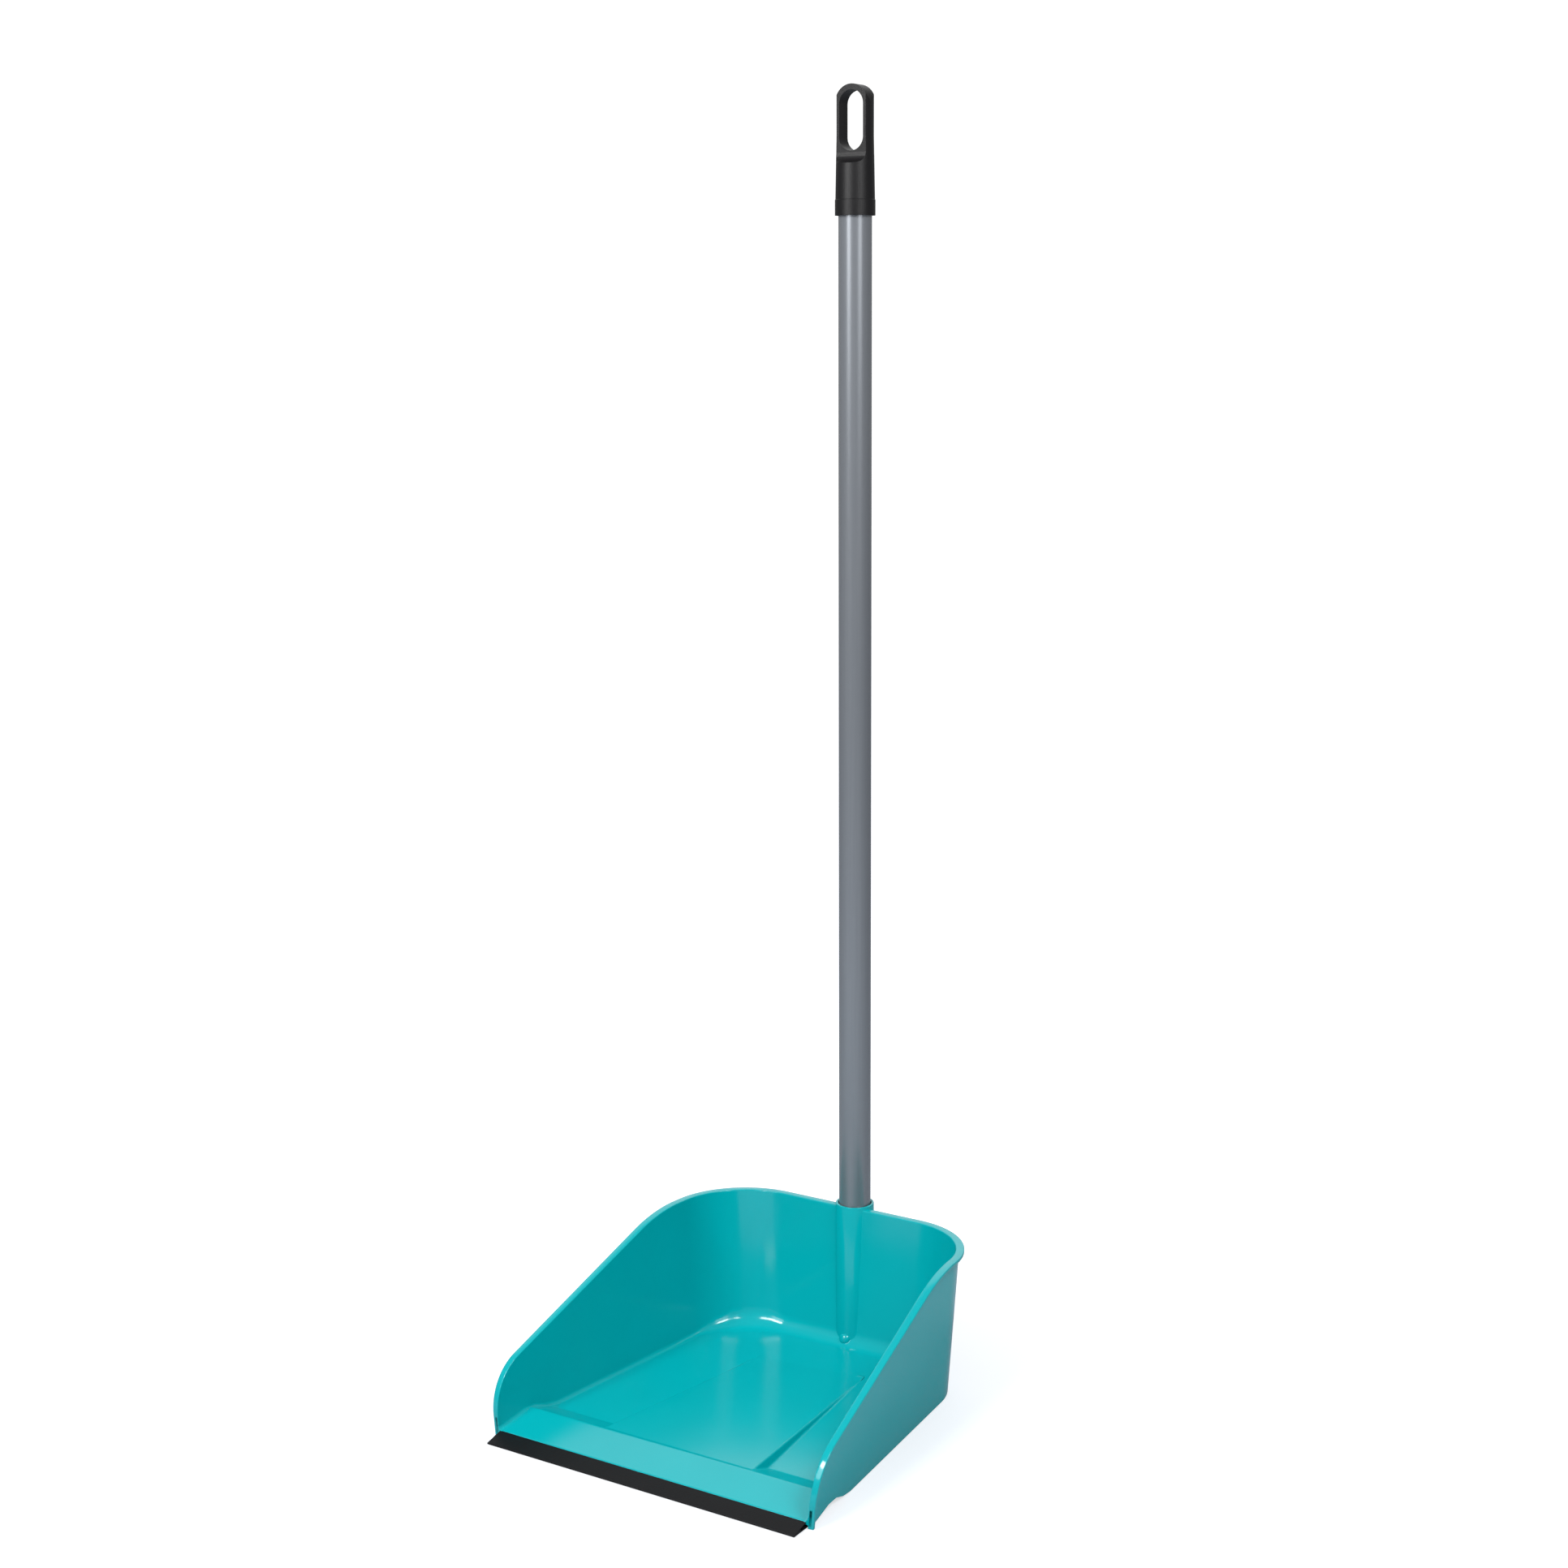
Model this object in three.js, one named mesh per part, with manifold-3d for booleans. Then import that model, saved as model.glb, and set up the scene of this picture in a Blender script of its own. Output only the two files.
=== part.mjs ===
// Long-handled dust pan: moulded pan, rubber lip, steel handle tube, click plug and hanging cap.
// Millimetres. +Z is up from the floor, +X is the pan's right, -Y is its open front.
// The origin is on the floor, in the middle of the footprint.
import * as THREE from 'three';
import { mergeVertices } from 'three/addons/utils/BufferGeometryUtils.js';
import Module from 'manifold-3d';

const wasm = await Module();
wasm.setup();

// Overall size
const FOOTPRINT_DEPTH = 277;
const LIP_TIP_Y = -FOOTPRINT_DEPTH / 2;

// Socket moulded on the back of the pan, and the handle in it
const SOCKET_R = 13.3;
const SOCKET_TOP_Z = 102.7;
const SOCKET_FLOOR_Z = 3;
const HANDLE_Y = FOOTPRINT_DEPTH / 2 - SOCKET_R;
const TUBE_R = 11;
const TUBE_WALL = 0.7;
const BORE_CLEARANCE = 0.6;
const TUBE_BOTTOM_Z = SOCKET_FLOOR_Z + 0.5;
const GAP = 0.3;

// Pan walls: they narrow to the back and lean outwards as they rise
const PAN_FRONT_Y = LIP_TIP_Y + 13.7;
const FRONT_HALF_WIDTH = 119.6;
const SIDE_TAPER = 0.1;
const SIDE_DRAFT = 0.075;
const REAR_Y = HANDLE_Y - 9.6;
const REAR_DRAFT = 0.04;
const CORNER_R = 50;
const WALL = 2.3;

// Rim seen from the side: upright front edge, rounded shoulder, straight slope, level back
const RIM_TOP_Z = 100.7;
const SLOPE_START_Z = 38;
const SLOPE_ANGLE = THREE.MathUtils.degToRad(20.5);
const SHOULDER_R = 36;
const SLOPE_TOP_R = 122;
const FLANGE_THICK = 2.4;
const FLANGE_OUT_FOOT = 1.5;
const FLANGE_OUT_TOP = 3.3;

// Floor: flat plate, a full-width fold at the front and a raised panel in the middle
const FLOOR_THICK = 2.5;
const CREST_Y = -95.5;
const CREST_Z = 9.2;
const FOLD_BACK_Y = -76;
const RAMP_FRONT_Z = 3.8;
const PANEL_FRONT_Z = 8.3;
const PANEL_FRONT_HALF = 57;
const PANEL_BACK_Y = 63;
const PANEL_BACK_HALF = 40;
const PANEL_FLARE = 3;
const PANEL_HOLLOW_BACK_Y = 50;

// Rubber lip, slotted over a tongue on the ramp's front edge
const TONGUE_REACH = 6;
const LIP_UNDER_REACH = 6;
const LIP_TIP_THICK = 1;

// Click stud on the plug in the tube's end, and its blind dome in the pan
const STUD_Z = 6.8;
const STUD_R = 2.4;
const STUD_TIP = 13.6;
const DOME_R = 4.4;
const POCKET_R = 2.8;
const POCKET_DEPTH = 14.2;
const PLUG_TOP_Z = 30;

// Hanging cap on the tube's upper end
const COLLAR_BOTTOM_Z = 775.9;
const COLLAR_H = 10;
const COLLAR_R = 13.25;
const SLEEVE_R = 12.95;
const CAP_R = 12.2;
const CAP_TOP_Z = 859.2;
const TUBE_TOP_Z = COLLAR_BOTTOM_Z + 29.6;
const EYELET_THICK = 10.7;
const EYELET_HOLE_R = 8.95;
const EYELET_BOTTOM_Z = 817;
const EYELET_TOP_Z = 855.6;
const SCOOP_R = 7;

const ROUND = 64;

// Closed body through a row of rings that all have the same number of points
function loft(rings) {
  const count = rings[0].length;
  const index = [];
  for (let r = 0; r + 1 < rings.length; r++) {
    for (let i = 0; i < count; i++) {
      const a = r * count + i;
      const b = r * count + (i + 1) % count;
      index.push(a, b, b + count, a, b + count, a + count);
    }
  }
  const last = (rings.length - 1) * count;
  for (let i = 1; i + 1 < count; i++) {
    index.push(0, i + 1, i, last, last + i, last + i + 1);
  }
  const geometry = new THREE.BufferGeometry();
  geometry.setFromPoints(rings.flat());
  geometry.setIndex(index);
  return geometry;
}

function solid(geometry) {
  geometry.deleteAttribute('normal');
  geometry.deleteAttribute('uv');
  const welded = mergeVertices(geometry, 1e-4);
  const corners = welded.index.array;
  const triangles = [];
  for (let t = 0; t < corners.length; t += 3) {
    const [a, b, c] = corners.slice(t, t + 3);
    if (a !== b && b !== c && c !== a) {
      triangles.push(a, b, c);
    }
  }
  const build = (order) => new wasm.Manifold(new wasm.Mesh({
    numProp: 3,
    vertProperties: welded.getAttribute('position').array,
    triVerts: new Uint32Array(order),
  }));
  const body = build(triangles);
  // A loft can come out facing inwards, depending on which way its rings run
  return body.volume() > 0 ? body : build(triangles.reverse());
}

// Prism with its outline in the Y-Z plane, reaching the same distance each way in X
function prismAcross(outline, halfWidth) {
  const shape = new THREE.Shape(outline.map(([y, z]) => new THREE.Vector2(y, z)));
  const geometry = new THREE.ExtrudeGeometry(shape, { depth: 2 * halfWidth, bevelEnabled: false });
  geometry.translate(0, 0, -halfWidth);
  geometry.rotateX(Math.PI / 2);
  geometry.rotateZ(Math.PI / 2);
  return solid(geometry);
}

// Prism with its outline in the X-Z plane, reaching from one Y to another
function prismAlong(shape, frontY, backY, segments) {
  const options = { depth: backY - frontY, bevelEnabled: false, curveSegments: segments };
  const geometry = new THREE.ExtrudeGeometry(shape, options);
  geometry.rotateX(Math.PI / 2);
  geometry.translate(0, backY, 0);
  return solid(geometry);
}

// Turned body standing on the handle's axis; the profile is a list of [radius, z]
function turned(profile) {
  const points = profile.map(([radius, z]) => new THREE.Vector2(radius, z));
  const geometry = new THREE.LatheGeometry(points, ROUND);
  geometry.rotateX(Math.PI / 2);
  geometry.translate(0, HANDLE_Y, 0);
  return solid(geometry);
}

function post(radius, bottomZ, topZ) {
  return turned([[0, bottomZ], [radius, bottomZ], [radius, topZ], [0, topZ]]);
}

// Round pin that lies along Y, at the height of the click stud
function stud(radius, frontReach, backReach) {
  const geometry = new THREE.CylinderGeometry(radius, radius, frontReach - backReach, 32);
  geometry.translate(0, HANDLE_Y - (frontReach + backReach) / 2, STUD_Z);
  return solid(geometry);
}

// Height of the rim at a depth, as points [y, z] from the foot of the front edge to the level back
function rimProfile() {
  const shoulderTangent = SHOULDER_R * Math.tan((Math.PI / 2 - SLOPE_ANGLE) / 2);
  const shoulderZ = SLOPE_START_Z - shoulderTangent;
  const levelY = PAN_FRONT_Y + (RIM_TOP_Z - SLOPE_START_Z) / Math.tan(SLOPE_ANGLE);
  const topArcEndY = levelY + SLOPE_TOP_R * Math.tan(SLOPE_ANGLE / 2);
  const points = [[PAN_FRONT_Y, 0]];
  const steps = 9;
  for (let i = 0; i <= steps; i++) {
    const angle = Math.PI - (Math.PI / 2 - SLOPE_ANGLE) * i / steps;
    points.push([
      PAN_FRONT_Y + SHOULDER_R + SHOULDER_R * Math.cos(angle),
      shoulderZ + SHOULDER_R * Math.sin(angle),
    ]);
  }
  for (let i = 0; i <= steps; i++) {
    const angle = Math.PI / 2 + SLOPE_ANGLE * (1 - i / steps);
    points.push([
      topArcEndY + SLOPE_TOP_R * Math.cos(angle),
      RIM_TOP_Z - SLOPE_TOP_R + SLOPE_TOP_R * Math.sin(angle),
    ]);
  }
  return points;
}

const PROFILE = rimProfile();
const SIDE_ANGLE = Math.atan(SIDE_TAPER);
const CORNER_Y = REAR_Y - CORNER_R;

function rimHeight(y) {
  for (let i = 1; i + 1 < PROFILE.length; i++) {
    const [y0, z0] = PROFILE[i];
    const [y1, z1] = PROFILE[i + 1];
    if (y <= y1) {
      return z0 + (z1 - z0) * (y - y0) / (y1 - y0);
    }
  }
  return RIM_TOP_Z;
}

// Places along one side of the pan: first down the side wall, then round the back corner
function stations() {
  const list = [];
  const lastSideY = CORNER_Y + CORNER_R * Math.sin(SIDE_ANGLE);
  for (const [y, z] of PROFILE) {
    if (y < lastSideY - 1) {
      list.push({ y, angle: SIDE_ANGLE, rimZ: z });
    }
  }
  const steps = 14;
  for (let i = 0; i <= steps; i++) {
    const angle = SIDE_ANGLE + (Math.PI / 2 - SIDE_ANGLE) * i / steps;
    const y = CORNER_Y + CORNER_R * Math.sin(angle);
    list.push({ corner: true, angle, rimZ: rimHeight(y) });
  }
  return list;
}

// Point on the walls' outer face at a station and a height
function outerPoint(station, z, offset) {
  const cos = Math.cos(SIDE_ANGLE);
  const sin = Math.sin(SIDE_ANGLE);
  const frontX = FRONT_HALF_WIDTH + SIDE_DRAFT * z;
  const across = Math.cos(station.angle) * offset;
  const back = Math.sin(station.angle) * offset;
  if (!station.corner) {
    const x = frontX - SIDE_TAPER * (station.y - PAN_FRONT_Y);
    return new THREE.Vector3(x + across, station.y + back, z);
  }
  const radius = CORNER_R + REAR_DRAFT * z;
  const centreX = (frontX * cos + PAN_FRONT_Y * sin - radius - CORNER_Y * sin) / cos;
  const x = centreX + radius * Math.cos(station.angle) + across;
  return new THREE.Vector3(x, CORNER_Y + radius * Math.sin(station.angle) + back, z);
}

function mirrored(points) {
  return points.map((point) => new THREE.Vector3(-point.x, point.y, point.z));
}

// Sections from the right front corner, round the back, to the left front corner
function bothSides(sections) {
  return [...sections, ...sections.map(mirrored).reverse()];
}

function walls() {
  const sections = stations().slice(1).map((station) => [
    outerPoint(station, 0, 0),
    outerPoint(station, 0, -WALL),
    outerPoint(station, station.rimZ - 0.2, -WALL),
    outerPoint(station, station.rimZ - 0.2, 0),
  ]);
  return solid(loft(bothSides(sections)));
}

// Flange that runs along the rim and down both front edges
function flange() {
  const list = stations();
  const path = list.map((station) => outerPoint(station, station.rimZ, 0));
  const sections = list.map((station, i) => {
    const before = path[Math.max(i - 1, 0)];
    const after = path[Math.min(i + 1, path.length - 1)];
    const along = after.clone().sub(before).normalize();
    const outward = new THREE.Vector3(Math.cos(station.angle), Math.sin(station.angle), 0);
    const under = outward.clone().cross(along).normalize().multiplyScalar(-FLANGE_THICK);
    const reach = THREE.MathUtils.lerp(FLANGE_OUT_FOOT, FLANGE_OUT_TOP, station.rimZ / RIM_TOP_Z);
    const inner = path[i].clone().addScaledVector(outward, -WALL);
    const outer = path[i].clone().addScaledVector(outward, reach);
    return [inner, outer, outer.clone().add(under), inner.clone().add(under)];
  });
  return solid(loft(bothSides(sections)));
}

// Everything inside the walls' outer faces, up to a height
function footprint(topZ) {
  const list = stations().slice(1);
  const ring = (z) => bothSides(list.map((station) => [outerPoint(station, z, -WALL / 2)])).flat();
  return solid(loft([ring(-1), ring(topZ)]));
}

function floorPlate() {
  const backY = REAR_Y + 2;
  const fold = [
    [PAN_FRONT_Y + GAP, RAMP_FRONT_Z - 2.4],
    [CREST_Y, CREST_Z - 2.6],
    [FOLD_BACK_Y - 1.5, 0],
    [backY, 0],
    [backY, FLOOR_THICK],
    [FOLD_BACK_Y, FLOOR_THICK],
    [CREST_Y, CREST_Z],
    [PAN_FRONT_Y + GAP, RAMP_FRONT_Z],
  ];
  return prismAcross(fold, FRONT_HALF_WIDTH + 2).intersect(footprint(20));
}

// Thin tongue on the ramp's front edge, for the lip's slot
function lipTongue() {
  const outline = [
    [PAN_FRONT_Y + 1, RAMP_FRONT_Z - 1.9],
    [PAN_FRONT_Y - TONGUE_REACH, RAMP_FRONT_Z - 2.6],
    [PAN_FRONT_Y - TONGUE_REACH, RAMP_FRONT_Z - 1.7],
    [PAN_FRONT_Y + 1, RAMP_FRONT_Z - 0.8],
  ];
  return prismAcross(outline, FRONT_HALF_WIDTH - WALL - 1);
}

// Section of the raised panel at a depth, or of the hollow that runs a wall's thickness under it
function panelSection(y, drop) {
  const share = (y - CREST_Y) / (PANEL_BACK_Y - CREST_Y);
  const half = THREE.MathUtils.lerp(PANEL_FRONT_HALF, PANEL_BACK_HALF, share) - drop;
  const topZ = THREE.MathUtils.lerp(PANEL_FRONT_Z, FLOOR_THICK, share) - drop;
  const baseHalf = half + PANEL_FLARE * (1 - share);
  const baseZ = drop > 0 ? -1 : 1;
  return [
    new THREE.Vector3(-baseHalf, y, baseZ),
    new THREE.Vector3(-half, y, topZ),
    new THREE.Vector3(half, y, topZ),
    new THREE.Vector3(baseHalf, y, baseZ),
  ];
}

function raisedPanel() {
  return solid(loft([panelSection(CREST_Y, 0), panelSection(PANEL_BACK_Y, 0)]));
}

function panelHollow() {
  return solid(loft([panelSection(CREST_Y, WALL), panelSection(PANEL_HOLLOW_BACK_Y, WALL)]));
}

// Space under the front fold, cut through the side walls too
function foldHollow() {
  const outline = [
    [FOLD_BACK_Y - 1.5, -1],
    [FOLD_BACK_Y - 1.5, 0],
    [CREST_Y, CREST_Z - 2.6],
    [PAN_FRONT_Y + 8, RAMP_FRONT_Z - 1.1],
    [PAN_FRONT_Y + 6, -1],
  ];
  return prismAcross(outline, FRONT_HALF_WIDTH + 10);
}

function clickDome() {
  const geometry = new THREE.SphereGeometry(DOME_R, 32, 20);
  geometry.translate(0, HANDLE_Y - SOCKET_R + 0.8, STUD_Z);
  return solid(geometry);
}

function panBody() {
  const shell = walls().add(flange()).subtract(foldHollow());
  const base = floorPlate().add(raisedPanel()).subtract(panelHollow()).add(lipTongue());
  const socket = post(SOCKET_R, 0, SOCKET_TOP_Z).add(clickDome());
  const bore = post(TUBE_R + BORE_CLEARANCE, SOCKET_FLOOR_Z, SOCKET_TOP_Z + 5);
  return shell.add(base).add(socket).subtract(bore).subtract(stud(POCKET_R, POCKET_DEPTH, 8));
}

function lipStrip() {
  const outline = [
    [LIP_TIP_Y, 0],
    [PAN_FRONT_Y + LIP_UNDER_REACH, 0],
    [PAN_FRONT_Y + LIP_UNDER_REACH, RAMP_FRONT_Z - 1.7],
    [PAN_FRONT_Y + GAP, RAMP_FRONT_Z - 2.7],
    [PAN_FRONT_Y - TONGUE_REACH - GAP, RAMP_FRONT_Z - 2.95],
    [PAN_FRONT_Y - TONGUE_REACH - GAP, RAMP_FRONT_Z - 1.4],
    [PAN_FRONT_Y, RAMP_FRONT_Z - 0.5],
    [PAN_FRONT_Y, RAMP_FRONT_Z + 0.15],
    [LIP_TIP_Y, LIP_TIP_THICK],
  ];
  // The walls close in a little behind the front, so the lip is cut to clear them there
  return prismAcross(outline, FRONT_HALF_WIDTH - WALL - SIDE_TAPER * LIP_UNDER_REACH - GAP);
}

// Slot in the tube's front, from its lower end up round the click stud
function studSlot() {
  const width = 2 * (STUD_R + 0.4);
  const geometry = new THREE.BoxGeometry(width, 6, STUD_Z - TUBE_BOTTOM_Z + 1);
  geometry.translate(0, HANDLE_Y - TUBE_R, (STUD_Z + TUBE_BOTTOM_Z - 1) / 2);
  return solid(geometry).add(stud(width / 2, TUBE_R + 3, TUBE_R - 3));
}

function handleTube() {
  const inner = TUBE_R - TUBE_WALL;
  const pipe = turned([
    [inner, TUBE_BOTTOM_Z],
    [TUBE_R, TUBE_BOTTOM_Z],
    [TUBE_R, TUBE_TOP_Z],
    [inner, TUBE_TOP_Z],
    [inner, TUBE_BOTTOM_Z],
  ]);
  return pipe.subtract(studSlot());
}

// Hollow plug in the tube's end; its front is a springy tongue that carries the click stud
function clickPlug() {
  const radius = TUBE_R - TUBE_WALL - GAP;
  let plug = post(radius, TUBE_BOTTOM_Z, PLUG_TOP_Z);
  plug = plug.subtract(post(radius - 2.2, TUBE_BOTTOM_Z - 1, PLUG_TOP_Z - 3));
  for (const side of [-1, 1]) {
    const slit = new THREE.BoxGeometry(0.8, 7, PLUG_TOP_Z - 10);
    slit.translate(side * 4.2, HANDLE_Y - radius, (PLUG_TOP_Z - 10) / 2);
    plug = plug.subtract(solid(slit));
  }
  return plug.add(stud(STUD_R, STUD_TIP, radius - 2));
}

// Outline of the cap from the front: open below, half round at the top
function capOutline() {
  const side = COLLAR_R + 1;
  const centreZ = CAP_TOP_Z - CAP_R;
  const shape = new THREE.Shape();
  shape.moveTo(-side, COLLAR_BOTTOM_Z - 1);
  shape.lineTo(side, COLLAR_BOTTOM_Z - 1);
  shape.lineTo(side, centreZ);
  shape.lineTo(CAP_R, centreZ);
  shape.absarc(0, centreZ, CAP_R, 0, Math.PI, false);
  shape.lineTo(-side, centreZ);
  shape.closePath();
  return prismAlong(shape, HANDLE_Y - 20, HANDLE_Y + 20, 20);
}

function eyeletHole() {
  const shape = new THREE.Shape();
  shape.moveTo(EYELET_HOLE_R, EYELET_BOTTOM_Z + EYELET_HOLE_R);
  shape.absarc(0, EYELET_TOP_Z - EYELET_HOLE_R, EYELET_HOLE_R, 0, Math.PI, false);
  shape.absarc(0, EYELET_BOTTOM_Z + EYELET_HOLE_R, EYELET_HOLE_R, Math.PI, 2 * Math.PI, false);
  return prismAlong(shape, HANDLE_Y - 20, HANDLE_Y + 20, 14);
}

// Cutter that flattens one face of the eyelet and ends below in a rounded scoop
function scoop(side) {
  const flat = EYELET_THICK / 2;
  const centreZ = EYELET_BOTTOM_Z - 1;
  const outline = [[flat, CAP_TOP_Z + 1]];
  const steps = 8;
  for (let i = 0; i <= steps; i++) {
    const angle = Math.PI / 2 * i / steps;
    outline.push([
      flat + SCOOP_R - SCOOP_R * Math.cos(angle),
      centreZ - SCOOP_R * Math.sin(angle),
    ]);
  }
  outline.push([COLLAR_R + 2, centreZ - SCOOP_R], [COLLAR_R + 2, CAP_TOP_Z + 1]);
  return prismAcross(outline.map(([y, z]) => [HANDLE_Y + side * y, z]), COLLAR_R + 2);
}

function hangCap() {
  const bodyZ = COLLAR_BOTTOM_Z + COLLAR_H;
  const outside = turned([
    [0, COLLAR_BOTTOM_Z],
    [COLLAR_R, COLLAR_BOTTOM_Z],
    [COLLAR_R, bodyZ],
    [SLEEVE_R, bodyZ + 0.3],
    [CAP_R, EYELET_BOTTOM_Z + 10],
    [CAP_R, CAP_TOP_Z + 1],
    [0, CAP_TOP_Z + 1],
  ]);
  const slotInner = TUBE_R - TUBE_WALL - GAP;
  const slotOuter = TUBE_R + GAP;
  const tubeSlot = turned([
    [slotInner, COLLAR_BOTTOM_Z - 1],
    [slotOuter, COLLAR_BOTTOM_Z - 1],
    [slotOuter, TUBE_TOP_Z + GAP],
    [slotInner, TUBE_TOP_Z + GAP],
    [slotInner, COLLAR_BOTTOM_Z - 1],
  ]);
  const core = post(slotInner - 2.5, COLLAR_BOTTOM_Z - 1, TUBE_TOP_Z - 2);
  return outside.intersect(capOutline())
    .subtract(scoop(-1))
    .subtract(scoop(1))
    .subtract(eyeletHole())
    .subtract(tubeSlot)
    .subtract(core);
}

function piece(name, body, colour, roughness, metalness) {
  const { vertProperties, triVerts } = body.getMesh();
  const geometry = new THREE.BufferGeometry();
  geometry.setAttribute('position', new THREE.BufferAttribute(new Float32Array(vertProperties), 3));
  geometry.setIndex(new THREE.BufferAttribute(new Uint32Array(triVerts), 1));
  geometry.computeVertexNormals();
  const material = new THREE.MeshStandardMaterial({ color: colour, roughness, metalness });
  const mesh = new THREE.Mesh(geometry, material);
  mesh.name = name;
  return mesh;
}

const dustPan = new THREE.Group();
dustPan.name = 'dust_pan';
dustPan.add(
  piece('pan_body', panBody(), 0x00a9b2, 0.3, 0),
  piece('lip_strip', lipStrip(), 0x1e1e20, 0.6, 0),
  piece('handle_tube', handleTube(), 0x8f9399, 0.4, 0.6),
  piece('click_plug', clickPlug(), 0x00a9b2, 0.4, 0),
  piece('hang_cap', hangCap(), 0x2c2a2c, 0.5, 0),
);

export default dustPan;
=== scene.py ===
import math

import bmesh
import bpy
from mathutils import Matrix, Vector


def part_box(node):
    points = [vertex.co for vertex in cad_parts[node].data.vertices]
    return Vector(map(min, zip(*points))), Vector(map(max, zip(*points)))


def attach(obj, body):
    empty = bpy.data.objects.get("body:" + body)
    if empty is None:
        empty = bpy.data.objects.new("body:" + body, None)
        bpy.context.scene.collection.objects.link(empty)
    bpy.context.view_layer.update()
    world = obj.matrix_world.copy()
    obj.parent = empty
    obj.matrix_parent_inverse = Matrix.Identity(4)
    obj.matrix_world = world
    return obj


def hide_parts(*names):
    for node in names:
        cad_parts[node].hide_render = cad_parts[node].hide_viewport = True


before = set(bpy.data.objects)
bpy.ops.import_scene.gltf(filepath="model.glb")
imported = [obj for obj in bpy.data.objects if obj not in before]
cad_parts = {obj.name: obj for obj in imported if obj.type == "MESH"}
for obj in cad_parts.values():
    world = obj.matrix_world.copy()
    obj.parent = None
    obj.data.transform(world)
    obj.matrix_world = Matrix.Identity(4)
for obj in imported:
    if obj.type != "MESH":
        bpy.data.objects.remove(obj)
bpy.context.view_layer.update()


# ---- Pan shell ----------------------------------------------------------------------------------
# One injection moulding in glossy polypropylene: three leaning walls that close in towards the back,
# a flange along the rim, a wide rounding where walls meet floor, and a round socket for the handle
# behind the back wall. Sizes are in millimetres, as on the CAD body, and turned to metres at the end.
MM = 0.001
HANDLE_Y = 125.2
FRONT_Y = -124.8
HALF_FRONT = 119.6
TAPER = 0.1
DRAFT = 0.075
REAR_Y = HANDLE_Y - 9.6
REAR_DRAFT = 0.04
CORNER_R = 50.0
WALL = 2.3
RIM_Z = 100.7
SLOPE_Z = 38.0
SLOPE = math.radians(20.5)
SHOULDER_R = 36.0
SLOPE_TOP_R = 122.0
SIDE_ANGLE = math.atan(TAPER)
CORNER_Y = REAR_Y - CORNER_R
FLOOR_Z = 2.5
CREST_Y, CREST_Z = -95.5, 9.2
FOLD_Y = -76.0
RAMP_Z = 3.8
SIDE_FILLET, CORNER_FILLET, REAR_FILLET = 3.0, 13.5, 10.0
FLANGE_FRONT, FLANGE_BACK = 1.5, 3.3
FLANGE_THICK, FLANGE_EDGE = 2.4, 0.6
SOCKET_R, SOCKET_BORE, SOCKET_TOP, SOCKET_FLOOR = 13.3, 11.6, 102.7, 3.0
SOCKET_FLARE, SOCKET_LEAN = 0.041, 0.5
DOME_R, DOME_AHEAD, DOME_Z = 4.7, 12.0, 6.2
PAN_DEEP, PAN_LIT = "00A3AA", "00A9B0"


def linear(hex_colour):
    """An sRGB hex colour as linear RGBA."""
    parts = [int(hex_colour[i:i + 2], 16) / 255 for i in (0, 2, 4)]
    parts = [c / 12.92 if c <= 0.04045 else ((c + 0.055) / 1.055) ** 2.4 for c in parts]
    return (*parts, 1.0)


def node(tree, kind, links=(), **settings):
    """Adds a shader node, sets its attributes or inputs by name, and links (input, socket) pairs."""
    made = tree.nodes.new(kind)
    for key, value in settings.items():
        if hasattr(made, key):
            setattr(made, key, value)
        else:
            made.inputs[key.replace("_", " ")].default_value = value
    for name, socket in links:
        tree.links.new(socket, made.inputs[name])
    return made


def blank_material(name):
    material = bpy.data.materials.new(name)
    material.use_nodes = True
    material.node_tree.nodes.clear()
    return material, material.node_tree


def moulded_gloss(name, deep, lit, roughness):
    """Glossy moulded polypropylene: even colour with a faint cloudiness, and a skin that is not quite
    flat, so that reflections waver a little instead of staying ruler-straight."""
    material, tree = blank_material(name)
    place = node(tree, "ShaderNodeTexCoord").outputs["Object"]
    cloud = node(tree, "ShaderNodeTexNoise", [("Vector", place)], Scale=18.0, Detail=3.0)
    colour = node(tree, "ShaderNodeMix", [("Factor", cloud.outputs["Fac"])], data_type="RGBA")
    colour.inputs[6].default_value = linear(deep)
    colour.inputs[7].default_value = linear(lit)
    wave = node(tree, "ShaderNodeTexNoise", [("Vector", place)], Scale=9.0, Detail=1.0)
    ripple = node(tree, "ShaderNodeBump", [("Height", wave.outputs["Fac"])], Strength=0.06, Distance=0.004)
    streak = node(tree, "ShaderNodeTexNoise", [("Vector", place)], Scale=60.0, Detail=4.0)
    rough = node(tree, "ShaderNodeMapRange", [("Value", streak.outputs["Fac"])])
    rough.inputs["To Min"].default_value = roughness - 0.03
    rough.inputs["To Max"].default_value = roughness + 0.04
    skin = node(tree, "ShaderNodeBsdfPrincipled", [
        ("Base Color", colour.outputs[2]),
        ("Roughness", rough.outputs["Result"]),
        ("Normal", ripple.outputs["Normal"]),
    ])
    skin.inputs["IOR"].default_value = 1.49
    node(tree, "ShaderNodeOutputMaterial", [("Surface", skin.outputs["BSDF"])])
    return material


def add_loft(bm, rings, closed=True, caps=True):
    """Skins a row of rings (lists of Vectors, all the same length); rings close on themselves."""
    rows = [[bm.verts.new(p * MM) for p in ring] for ring in rings]
    count = len(rows[0])
    for low, high in zip(rows, rows[1:]):
        for i in range(count if closed else count - 1):
            j = (i + 1) % count
            bm.faces.new((low[i], low[j], high[j], high[i]))
    if caps:
        bm.faces.new(rows[0][::-1])
        bm.faces.new(rows[-1])
    return rows


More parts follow.
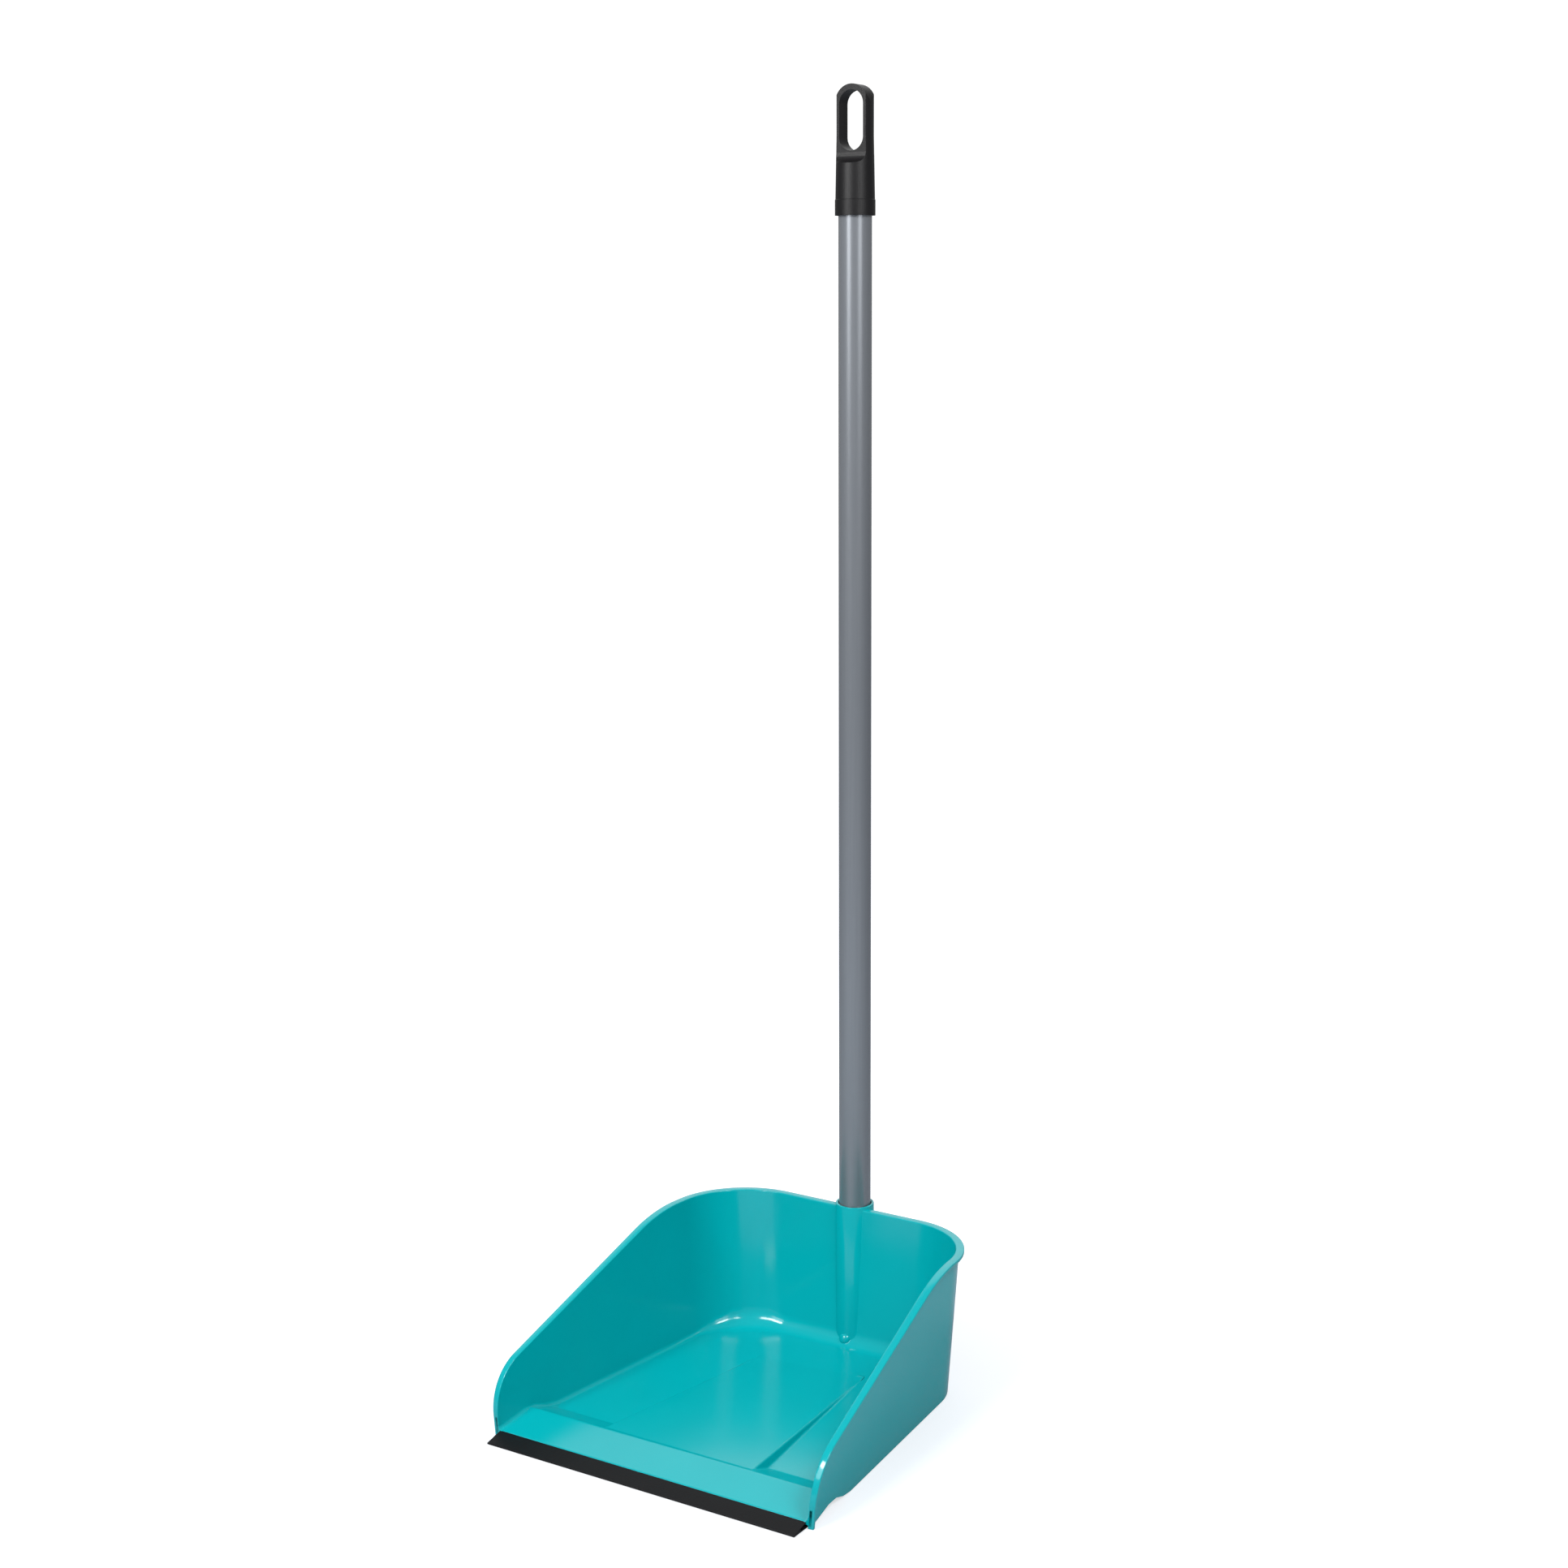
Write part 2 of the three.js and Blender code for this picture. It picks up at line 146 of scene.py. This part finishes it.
def add_turned(bm, profile, centre, steps=96):
    """Turns a profile of (radius, z) about an upright axis through centre; ends on the axis close."""
    rows = []
    for radius, z in profile:
        if radius == 0:
            rows.append([bm.verts.new(Vector((centre[0], centre[1], z)) * MM)])
            continue
        ring = []
        for i in range(steps):
            turn = 2 * math.pi * i / steps
            ring.append(bm.verts.new(Vector((
                centre[0] + radius * math.cos(turn), centre[1] + radius * math.sin(turn), z)) * MM))
        rows.append(ring)
    for low, high in zip(rows, rows[1:]):
        for i in range(steps):
            j = (i + 1) % steps
            corners = [low[i % len(low)], low[j % len(low)], high[j % len(high)], high[i % len(high)]]
            corners = list(dict.fromkeys(corners))
            if len(corners) > 2:
                bm.faces.new(corners)
    return rows


def finish_mesh(bm, name, material, sharp=40.0):
    """Writes the mesh out with outward faces, smooth except across creases sharper than the angle."""
    bmesh.ops.recalc_face_normals(bm, faces=bm.faces)
    mesh = bpy.data.meshes.new(name)
    bm.to_mesh(mesh)
    bm.free()
    mesh.materials.append(material)
    made = bpy.data.objects.new(name, mesh)
    bpy.context.scene.collection.objects.link(made)
    mesh.shade_smooth()
    mesh.set_sharp_from_angle(angle=math.radians(sharp))
    return made


def rim_profile(steps=16):
    """The rim from the side as (y, z): upright front edge, rounded shoulder, slope, level back."""
    shoulder_z = SLOPE_Z - SHOULDER_R * math.tan((math.pi / 2 - SLOPE) / 2)
    level_y = FRONT_Y + (RIM_Z - SLOPE_Z) / math.tan(SLOPE)
    arc_end_y = level_y + SLOPE_TOP_R * math.tan(SLOPE / 2)
    points = [(FRONT_Y, 0.0), (FRONT_Y, shoulder_z / 2)]
    for i in range(steps + 1):
        turn = math.pi - (math.pi / 2 - SLOPE) * i / steps
        ahead, above = SHOULDER_R * (1 + math.cos(turn)), SHOULDER_R * math.sin(turn)
        points.append((FRONT_Y + ahead, shoulder_z + above))
    slope_end = points[-1]
    arc_start = (arc_end_y - SLOPE_TOP_R * math.sin(SLOPE), RIM_Z - SLOPE_TOP_R * (1 - math.cos(SLOPE)))
    for i in range(1, 12):
        share = i / 12
        points.append(tuple(a + (b - a) * share for a, b in zip(slope_end, arc_start)))
    for i in range(steps + 1):
        turn = math.pi / 2 + SLOPE * (1 - i / steps)
        ahead, below = SLOPE_TOP_R * math.cos(turn), SLOPE_TOP_R * (1 - math.sin(turn))
        points.append((arc_end_y + ahead, RIM_Z - below))
    return points


RIM = rim_profile()


def rim_height(y):
    for (y0, z0), (y1, z1) in zip(RIM[2:], RIM[3:]):
        if y <= y1:
            return z0 + (z1 - z0) * (y - y0) / (y1 - y0)
    return RIM_Z


def stations():
    """Places along the right side, front to back, as (side y or None, outward angle, rim height)."""
    last_y = CORNER_Y + CORNER_R * math.sin(SIDE_ANGLE)
    side = [(y, SIDE_ANGLE, z) for y, z in RIM if y < last_y - 1]
    corner = []
    for i in range(29):
        turn = SIDE_ANGLE + (math.pi / 2 - SIDE_ANGLE) * i / 28
        corner.append((None, turn, rim_height(CORNER_Y + CORNER_R * math.sin(turn))))
    return side + corner


def wall_point(station, z, offset):
    """A point at a height, at an offset outwards from the walls' outer face."""
    y, turn, _ = station
    front_x = HALF_FRONT + DRAFT * z
    out = Vector((math.cos(turn), math.sin(turn), 0)) * offset
    if y is not None:
        return Vector((front_x - TAPER * (y - FRONT_Y), y, z)) + out
    radius = CORNER_R + REAR_DRAFT * z
    cos, sin = math.cos(SIDE_ANGLE), math.sin(SIDE_ANGLE)
    centre_x = (front_x * cos + FRONT_Y * sin - radius - CORNER_Y * sin) / cos
    return Vector((centre_x + radius * math.cos(turn), CORNER_Y + radius * math.sin(turn), z)) + out


def both_sides(sections):
    """Sections from the right front, round the back, to the left front."""
    flipped = [[Vector((-p.x, p.y, p.z)) for p in section] for section in reversed(sections)]
    return sections + flipped


def fold_height(y):
    """Top of the floor beside the walls: ramp up from the front, then down the back of the fold."""
    if y < CREST_Y:
        return RAMP_Z + (CREST_Z - RAMP_Z) * (y - FRONT_Y) / (CREST_Y - FRONT_Y)
    return max(FLOOR_Z, CREST_Z + (FLOOR_Z - CREST_Z) * (y - CREST_Y) / (FOLD_Y - CREST_Y))


def wall_section(station):
    """Outline of the wall across its run, with the rounding at its foot that runs onto the floor."""
    y = station[0] if station[0] is not None else 0.0
    top = max(station[2] - 1.0, 1.0)
    progress = 0.0 if station[0] is not None else (station[1] - SIDE_ANGLE) / (math.pi / 2 - SIDE_ANGLE)
    # The rounding swells through the first half of the corner and shrinks a little in its last fifth
    radius = SIDE_FILLET + (CORNER_FILLET - SIDE_FILLET) * min(1.0, 2.2 * progress)
    radius -= (CORNER_FILLET - REAR_FILLET) * max(0.0, 5 * progress - 4)
    floor_z = fold_height(y)
    under = max(0.0, min(floor_z - 2.6, 6.6)) if y < FOLD_Y - 1.5 else 0.0
    radius = min(radius, max(top - floor_z, 0.5))
    section = [wall_point(station, under, 0), wall_point(station, top, 0), wall_point(station, top, -WALL)]
    for i in range(9):
        turn = math.pi / 2 * i / 8
        offset = -WALL - radius * (1 - math.cos(turn))
        section.append(wall_point(station, floor_z + radius * (1 - math.sin(turn)), offset))
    section.append(wall_point(station, floor_z - 0.8, -WALL - radius - 0.6))
    section.append(wall_point(station, max(under, floor_z - 1.6), -WALL))
    return section


def flange_sections():
    """Rounded rectangle swept along the rim and down the front edges; it widens towards the back."""
    places = stations()
    path = [wall_point(s, s[2], 0) for s in places]
    sections = []
    for i, station in enumerate(places):
        along = (path[min(i + 1, len(path) - 1)] - path[max(i - 1, 0)]).normalized()
        out = Vector((math.cos(station[1]), math.sin(station[1]), 0))
        down = out.cross(along).normalized() * -1
        reach = FLANGE_FRONT + (FLANGE_BACK - FLANGE_FRONT) * station[2] / RIM_Z
        low, high, deep, soft = -WALL - 0.04, reach, FLANGE_THICK, FLANGE_EDGE
        section = []
        for corner_o, corner_d, start in ((low, 0, math.pi), (high, 0, math.pi / 2),
                                          (high, deep, 0), (low, deep, -math.pi / 2)):
            centre_o = corner_o + (soft if corner_o == low else -soft)
            centre_d = corner_d + (soft if corner_d == 0 else -soft)
            for k in range(5):
                turn = start - math.pi / 2 * k / 4
                across = centre_o + soft * math.cos(turn)
                below = centre_d - soft * math.sin(turn)
                section.append(path[i] + out * across + down * below)
        sections.append(section)
    return sections


def add_walls(bm):
    """Walls, and the flange along their rim, wherever the rim stands clear of the ramp."""
    places = [s for s in stations() if s[2] > 8]
    add_loft(bm, both_sides([wall_section(s) for s in places]))
    add_loft(bm, both_sides(flange_sections()))


def add_socket(bm):
    """Round post with a blind bore; its outside widens and leans forward a little towards the floor."""
    profile = [(0, 0.0), (SOCKET_R - 0.3, 0.0), (SOCKET_R, 0.3)]
    profile += [(SOCKET_R, SOCKET_TOP - 0.5), (SOCKET_R - 0.15, SOCKET_TOP - 0.15)]
    profile += [(SOCKET_R - 0.5, SOCKET_TOP)]
    profile += [(SOCKET_BORE + 0.4, SOCKET_TOP), (SOCKET_BORE + 0.12, SOCKET_TOP - 0.12)]
    profile += [(SOCKET_BORE, SOCKET_TOP - 0.4), (SOCKET_BORE, SOCKET_FLOOR), (0, SOCKET_FLOOR)]
    start = len(bm.verts)
    add_turned(bm, profile, (0, HANDLE_Y))
    bm.verts.ensure_lookup_table()
    for vert in bm.verts[start:]:
        across = Vector((vert.co.x, vert.co.y - HANDLE_Y * MM, 0))
        if across.length > (SOCKET_R - 0.8) * MM:
            depth = 1 - vert.co.z / (SOCKET_TOP * MM)
            vert.co += across * SOCKET_FLARE * depth + Vector((0, -SOCKET_LEAN * MM * depth, 0))


def add_dome(bm):
    """Blind pocket for the handle's click stud: a small dome at the foot of the socket."""
    centre = Vector((0, HANDLE_Y - DOME_AHEAD, DOME_Z))
    made = bmesh.ops.create_uvsphere(bm, u_segments=48, v_segments=32, radius=DOME_R * MM)
    bmesh.ops.translate(bm, verts=made["verts"], vec=centre * MM)


pan_gloss = moulded_gloss("turquoise_moulded_gloss", PAN_DEEP, PAN_LIT, 0.12)
bm = bmesh.new()
add_walls(bm)
add_socket(bm)
add_dome(bm)
pan_shell = finish_mesh(bm, "pan_shell", pan_gloss)
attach(pan_shell, "pan")
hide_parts("pan_body")


# ---- Pan floor ----------------------------------------------------------------------------------
# The floor of the same moulding: a fold across the front that ramps up from the lip and falls away
# behind, and a long raised panel that sinks back to floor level. Every crease has a small rounding,
# and sweeping has left it a shade duller than the walls.
PANEL_FRONT_Z = 8.3
PANEL_FRONT_HALF, PANEL_BACK_HALF = 57.0, 40.0
PANEL_BACK_Y = 63.0
PANEL_FLARE = 3.0
FLOOR_TUCK = 1.0
FLOOR_SKIN = 2.4


def inside_wall(y):
    """Half the floor's width at a depth, run a little way into the side walls."""
    return HALF_FRONT - TAPER * (y - FRONT_Y) - WALL + FLOOR_TUCK


def add_floor(bm):
    """Flat-faced plate: ramp, fold, raised panel with its two side slopes, and the level floor around."""
    band_slope = (CREST_Z - FLOOR_Z) / (FOLD_Y - CREST_Y)
    panel_slope = (PANEL_FRONT_Z - FLOOR_Z) / (PANEL_BACK_Y - CREST_Y)
    meet = (CREST_Z - PANEL_FRONT_Z) / (band_slope - panel_slope)
    meet_y, meet_z = CREST_Y + meet, CREST_Z - band_slope * meet
    share = (FOLD_Y - CREST_Y) / (PANEL_BACK_Y - CREST_Y)
    foot_half = PANEL_FRONT_HALF + (PANEL_BACK_HALF - PANEL_FRONT_HALF) * share + PANEL_FLARE * (1 - share)
    top_half = PANEL_FRONT_HALF + (PANEL_BACK_HALF - PANEL_FRONT_HALF) * meet / (PANEL_BACK_Y - CREST_Y)
    pairs = {
        "front": (inside_wall(FRONT_Y), FRONT_Y + 0.3, RAMP_Z),
        "crest": (inside_wall(CREST_Y), CREST_Y, CREST_Z),
        "fold": (inside_wall(FOLD_Y), FOLD_Y, FLOOR_Z),
        "foot": (foot_half, FOLD_Y, FLOOR_Z),
        "meet": (top_half, meet_y, meet_z),
        "back": (PANEL_BACK_HALF, PANEL_BACK_Y, FLOOR_Z),
    }
    top, low = {}, {}
    for key, (half, y, z) in pairs.items():
        for side, sign in (("R", 1), ("L", -1)):
            top[key + side] = bm.verts.new(Vector((sign * half, y, z)) * MM)
            low[key + side] = bm.verts.new(Vector((sign * half, y, max(z - FLOOR_SKIN, 0))) * MM)
    ring = [wall_point(s, FLOOR_Z, -WALL + FLOOR_TUCK) for s in stations() if s[0] is None]
    ring = ring + [Vector((-p.x, p.y, p.z)) for p in reversed(ring)]
    top_ring = [bm.verts.new(p * MM) for p in ring]
    low_ring = [bm.verts.new(Vector((p.x, p.y, 0)) * MM) for p in ring]
    panels = [
        ("frontL", "frontR", "crestR", "crestL"),
        ("crestL", "crestR", "foldR", "footR", "meetR", "meetL", "footL", "foldL"),
        ("meetL", "meetR", "backR", "backL"),
        ("meetR", "footR", "backR"),
        ("meetL", "backL", "footL"),
    ]
    for names in panels:
        bm.faces.new([top[n] for n in names])
        bm.faces.new([low[n] for n in reversed(names)])
    floor = ["foldL", "footL", "backL", "backR", "footR", "foldR"]
    bm.faces.new([top[n] for n in floor] + top_ring)
    bm.faces.new(list(reversed([low[n] for n in floor] + low_ring)))
    border = [(top[n], low[n]) for n in ("frontL", "frontR", "crestR", "foldR")]
    border += list(zip(top_ring, low_ring))
    border += [(top[n], low[n]) for n in ("foldL", "crestL")]
    for (a, b), (c, d) in zip(border, border[1:] + border[:1]):
        bm.faces.new((a, b, d, c))


bm = bmesh.new()
add_floor(bm)
swept_gloss = moulded_gloss("turquoise_swept_gloss", PAN_DEEP, PAN_LIT, 0.2)
pan_floor = finish_mesh(bm, "pan_floor", swept_gloss)
soften = pan_floor.modifiers.new("creases", "BEVEL")
soften.width = 0.0011
soften.segments = 4
soften.limit_method = "ANGLE"
soften.angle_limit = math.radians(1.5)
soften.harden_normals = True
soften.use_clamp_overlap = True
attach(pan_floor, "pan")
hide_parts("pan_body")


# ---- Rubber lip ---------------------------------------------------------------------------------
# A strip of soft black rubber along the ramp's front edge, thinning to the floor. It is slotted over
# a tongue on the pan; only its sloping top and thin front edge show.
def soft_rubber(name):
    """Matt black rubber with a low sheen and a very fine moulded grain."""
    material, tree = blank_material(name)
    place = node(tree, "ShaderNodeTexCoord").outputs["Object"]
    grain = node(tree, "ShaderNodeTexNoise", [("Vector", place)], Scale=900.0, Detail=2.0)
    wear = node(tree, "ShaderNodeTexNoise", [("Vector", place)], Scale=25.0, Detail=3.0)
    colour = node(tree, "ShaderNodeMix", [("Factor", wear.outputs["Fac"])], data_type="RGBA")
    colour.inputs[6].default_value = linear("08080A")
    colour.inputs[7].default_value = linear("101012")
    relief = node(tree, "ShaderNodeBump", [("Height", grain.outputs["Fac"])],
                  Strength=0.15, Distance=0.0004)
    skin = node(tree, "ShaderNodeBsdfPrincipled", [
        ("Base Color", colour.outputs[2]), ("Normal", relief.outputs["Normal"])], Roughness=0.55)
    skin.inputs["IOR"].default_value = 1.5
    skin.inputs["Specular IOR Level"].default_value = 0.22
    node(tree, "ShaderNodeOutputMaterial", [("Surface", skin.outputs["BSDF"])])
    return material


LIP_TIP_Y = -138.5
LIP_HALF = 116.4
# Side view as (y, z): underside, slot over the pan's tongue, then the sloping top
lip_outline = [
    (LIP_TIP_Y, 0.0), (-118.8, 0.0), (-118.8, 2.0), (-124.5, 1.1), (-131.1, 0.85), (-131.1, 2.4),
    (-124.8, 3.3), (-124.8, 3.95), (LIP_TIP_Y, 1.0),
]
bm = bmesh.new()
lip_rings = []
for x in (-LIP_HALF, -60.0, 0.0, 60.0, LIP_HALF):
    lip_rings.append([Vector((x, y, z)) for y, z in lip_outline])
add_loft(bm, lip_rings)
lip = finish_mesh(bm, "rubber_lip", soft_rubber("black_soft_rubber"), 20.0)
edge = lip.modifiers.new("edges", "BEVEL")
edge.width = 0.00022
edge.segments = 2
edge.limit_method = "ANGLE"
edge.angle_limit = math.radians(25)
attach(lip, "pan")
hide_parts("lip_strip")


# ---- Handle tube --------------------------------------------------------------------------------
# Thin-walled steel tube, 22 mm across, with a baked silver-grey coat. It drops into the socket and
# its top is covered by the cap.
TUBE_R, TUBE_WALL = 11.0, 0.7
TUBE_RINGS = 24


def coated_steel(name):
    """Silver-grey coat on steel: half metallic and satin, with hair-fine lines along the tube."""
    material, tree = blank_material(name)
    place = node(tree, "ShaderNodeTexCoord").outputs["Object"]
    stretch = node(tree, "ShaderNodeMapping", [("Vector", place)])
    stretch.inputs["Scale"].default_value = (1.0, 1.0, 0.02)
    lines = node(tree, "ShaderNodeTexNoise", [("Vector", stretch.outputs["Vector"])],
                 Scale=700.0, Detail=2.0)
    colour = node(tree, "ShaderNodeMix", [("Factor", lines.outputs["Fac"])], data_type="RGBA")
    colour.inputs[6].default_value = linear("80848A")
    colour.inputs[7].default_value = linear("878B90")
    relief = node(tree, "ShaderNodeBump", [("Height", lines.outputs["Fac"])],
                  Strength=0.05, Distance=0.0003)
    skin = node(tree, "ShaderNodeBsdfPrincipled", [
        ("Base Color", colour.outputs[2]), ("Normal", relief.outputs["Normal"])],
        Roughness=0.27, Metallic=0.5)
    node(tree, "ShaderNodeOutputMaterial", [("Surface", skin.outputs["BSDF"])])
    return material


tube_low, tube_high = (v.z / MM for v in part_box("handle_tube"))
bm = bmesh.new()
tube_profile = [(TUBE_R - TUBE_WALL, tube_low)]
for i in range(TUBE_RINGS + 1):
    tube_profile.append((TUBE_R, tube_low + (tube_high - tube_low) * i / TUBE_RINGS))
tube_profile += [(TUBE_R - TUBE_WALL, tube_high), (TUBE_R - TUBE_WALL, tube_low)]
add_turned(bm, tube_profile, (0, HANDLE_Y))
tube = finish_mesh(bm, "steel_tube", coated_steel("silver_coated_steel"), 60.0)
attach(tube, "handle")
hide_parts("handle_tube")


# ---- Click plug ---------------------------------------------------------------------------------
# Hidden plug in the tube's lower end, moulded in the pan's plastic. Its springy tongue carries the
# stud that clicks into the dome. The CAD body itself is shown, with a satin finish.
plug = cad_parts["click_plug"]
plug.data.materials.clear()
plug.data.materials.append(moulded_gloss("turquoise_moulded_satin", "0099A3", "00A2AC", 0.35))


# ---- Hanging cap --------------------------------------------------------------------------------
# Satin black moulded cap: a round sleeve with a collar over the tube, then two flats that leave a
# round-topped eyelet with a long hole. Each flat ends below in a rounded scoop.
def satin_black(name):
    """Black polypropylene with the fine even texture of a spark-eroded mould."""
    material, tree = blank_material(name)
    place = node(tree, "ShaderNodeTexCoord").outputs["Object"]
    grain = node(tree, "ShaderNodeTexNoise", [("Vector", place)], Scale=1400.0, Detail=3.0)
    wear = node(tree, "ShaderNodeTexNoise", [("Vector", place)], Scale=40.0, Detail=2.0)
    colour = node(tree, "ShaderNodeMix", [("Factor", wear.outputs["Fac"])], data_type="RGBA")
    colour.inputs[6].default_value = linear("0B0A0C")
    colour.inputs[7].default_value = linear("100F11")
    relief = node(tree, "ShaderNodeBump", [("Height", grain.outputs["Fac"])], Strength=0.2, Distance=0.0003)
    skin = node(tree, "ShaderNodeBsdfPrincipled", [
        ("Base Color", colour.outputs[2]), ("Normal", relief.outputs["Normal"])], Roughness=0.42)
    skin.inputs["IOR"].default_value = 1.49
    skin.inputs["Specular IOR Level"].default_value = 0.35
    node(tree, "ShaderNodeOutputMaterial", [("Surface", skin.outputs["BSDF"])])
    return material


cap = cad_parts["hang_cap"]
cap.data.materials.clear()
cap.data.materials.append(satin_black("black_moulded_satin"))
cap.data.shade_smooth()
cap.data.set_sharp_from_angle(angle=math.radians(50))


# ---- Floor, light and camera --------------------------------------------------------------------
# A wide floor of pale paper, two soft lights in front on the left and two on the right, and a camera
# a little below the cap, to the right of the pan's open front.
def studio_floor():
    """Grey-white paper with a faint fibre, and a painted glow that only camera rays see, so that it reads
    white; the glow is weaker near the middle.
    """
    material, tree = blank_material("pale_studio_paper")
    place = node(tree, "ShaderNodeTexCoord").outputs["Object"]
    fibre = node(tree, "ShaderNodeTexNoise", [("Vector", place)], Scale=400.0, Detail=2.0)
    colour = node(tree, "ShaderNodeMix", [("Factor", fibre.outputs["Fac"])], data_type="RGBA")
    colour.inputs[6].default_value = linear("AEB4BE")
    colour.inputs[7].default_value = linear("B3B9C3")
    reach = node(tree, "ShaderNodeVectorMath", [("Vector", place)], operation="LENGTH")
    painted_glow = node(tree, "ShaderNodeMapRange", [("Value", reach.outputs["Value"])])
    painted_glow.inputs["From Min"].default_value = 0.1
    painted_glow.inputs["From Max"].default_value = 0.5
    painted_glow.inputs["To Min"].default_value = 0.6
    painted_glow.inputs["To Max"].default_value = 1.0
    # This painted glow is seen by camera rays alone, so that the floor reads white and throws little light
    # back; it rises from 0.6 near the middle to 1.0 half a metre out
    camera_glow = node(tree, "ShaderNodeMath", operation="MULTIPLY")
    tree.links.new(painted_glow.outputs["Result"], camera_glow.inputs[0])
    tree.links.new(node(tree, "ShaderNodeLightPath").outputs["Is Camera Ray"], camera_glow.inputs[1])
    skin = node(tree, "ShaderNodeBsdfPrincipled", [
        ("Base Color", colour.outputs[2]), ("Emission Strength", camera_glow.outputs["Value"])], Roughness=0.9)
    skin.inputs["Emission Color"].default_value = linear("FFFFFF")
    node(tree, "ShaderNodeOutputMaterial", [("Surface", skin.outputs["BSDF"])])
    bm = bmesh.new()
    bmesh.ops.create_grid(bm, x_segments=8, y_segments=8, size=6.0)
    made = finish_mesh(bm, "studio_floor", material)
    made.location.z = -0.0005
    return made


studio_floor()


def soft_light(name, place, aim, size, power):
    """A white soft box at a place, turned towards an aim point; its size is width by height."""
    data = bpy.data.lights.new(name, "AREA")
    data.shape = "RECTANGLE"
    data.size, data.size_y = size
    data.energy = power
    made = bpy.data.objects.new(name, data)
    made.location = place
    made.rotation_euler = (Vector(aim) - Vector(place)).to_track_quat("-Z", "Y").to_euler()
    bpy.context.scene.collection.objects.link(made)


soft_light("key_panel", (-0.31, -1.17, 1.14), (0, 0, 0.5), (0.62, 0.95), 8)
soft_light("key_core", (-0.27, -1.02, 1.34), (0, 0, 0.1), (0.62, 0.32), 15)
soft_light("side_panel", (1.12, -0.42, 1.14), (0, 0, 0.5), (0.6, 0.95), 5)
soft_light("side_core", (0.97, -0.37, 1.34), (0, 0, 0.1), (0.5, 0.28), 8)

# Dim air, with one bright sheet of paper hung behind on the left and ending overhead; a camera ray
# sees the whole surround as bright as that sheet
world = bpy.data.worlds.new("studio_air")
bpy.context.scene.world = world
world.use_nodes = True
air = world.node_tree
look = node(air, "ShaderNodeTexCoord").outputs["Generated"]
level_look = node(air, "ShaderNodeVectorMath", [("Vector", look)], operation="MULTIPLY")
level_look.inputs[1].default_value = (1.0, 1.0, 0.0)
compass = node(air, "ShaderNodeVectorMath", [("Vector", level_look.outputs["Vector"])],
               operation="NORMALIZE")
away = node(air, "ShaderNodeVectorMath", [("Vector", compass.outputs["Vector"])],
            operation="DOT_PRODUCT")
away.inputs[1].default_value = (-0.54, 0.84, 0.0)
paper = node(air, "ShaderNodeMapRange", [("Value", away.outputs["Value"])],
             interpolation_type="SMOOTHSTEP")
paper.inputs["From Min"].default_value = 0.72
paper.inputs["From Max"].default_value = 0.92
height = node(air, "ShaderNodeSeparateXYZ", [("Vector", look)])
above = node(air, "ShaderNodeMapRange", [("Value", height.outputs["Z"])],
             interpolation_type="SMOOTHSTEP")
above.inputs["From Min"].default_value = 0.80
above.inputs["From Max"].default_value = 0.70
below = node(air, "ShaderNodeMapRange", [("Value", height.outputs["Z"])],
             interpolation_type="SMOOTHSTEP")
below.inputs["From Min"].default_value = 0.08
below.inputs["From Max"].default_value = 0.22
sheet = node(air, "ShaderNodeMath", operation="MULTIPLY")
air.links.new(below.outputs["Result"], sheet.inputs[0])
air.links.new(above.outputs["Result"], sheet.inputs[1])
both = node(air, "ShaderNodeMath", operation="MULTIPLY")
air.links.new(paper.outputs["Result"], both.inputs[0])
air.links.new(sheet.outputs["Value"], both.inputs[1])
bright = node(air, "ShaderNodeMath", operation="MAXIMUM")
air.links.new(both.outputs["Value"], bright.inputs[0])
air.links.new(node(air, "ShaderNodeLightPath").outputs["Is Camera Ray"], bright.inputs[1])
glow = node(air, "ShaderNodeMapRange", [("Value", bright.outputs["Value"])])
glow.inputs["To Min"].default_value = 0.26
glow.inputs["To Max"].default_value = 1.1
air.nodes["Background"].inputs["Color"].default_value = linear("FFFFFF")
air.links.new(glow.outputs["Result"], air.nodes["Background"].inputs["Strength"])

bpy.context.scene.view_settings.view_transform = "Standard"

# Camera: its place round the handle, how far it turns off the handle's axis, and its lens
IMAGE = 1932
FOCAL, CENTRE_X, CENTRE_Y = 3062.95, 968.06, 906.7
AIM_AZIMUTH, AIM_TURN, AIM_PITCH, AIM_ROLL = (math.radians(a) for a in (30.94, 1.62, 9.64, -0.25))
AIM_DISTANCE, AIM_HEIGHT = 1.65431, 0.71309
heading = AIM_AZIMUTH + AIM_TURN
forward = Vector((-math.sin(heading) * math.cos(AIM_PITCH), math.cos(heading) * math.cos(AIM_PITCH),
                  -math.sin(AIM_PITCH)))
level = Vector((math.cos(heading), math.sin(heading), 0))
upright = level.cross(forward)
right = level * math.cos(AIM_ROLL) + upright * math.sin(AIM_ROLL)
up = upright * math.cos(AIM_ROLL) - level * math.sin(AIM_ROLL)
lens = bpy.data.cameras.new("camera")
lens.sensor_width = 36.0
lens.lens = lens.sensor_width * FOCAL / IMAGE
lens.shift_x = (IMAGE / 2 - CENTRE_X) / IMAGE
lens.shift_y = (CENTRE_Y - IMAGE / 2) / IMAGE
lens.clip_end = 50
camera = bpy.data.objects.new("camera", lens)
camera.matrix_world = Matrix((
    (right.x, up.x, -forward.x, math.sin(AIM_AZIMUTH) * AIM_DISTANCE),
    (right.y, up.y, -forward.y, HANDLE_Y * MM - math.cos(AIM_AZIMUTH) * AIM_DISTANCE),
    (right.z, up.z, -forward.z, AIM_HEIGHT),
    (0, 0, 0, 1),
))
bpy.context.scene.collection.objects.link(camera)
bpy.context.scene.camera = camera
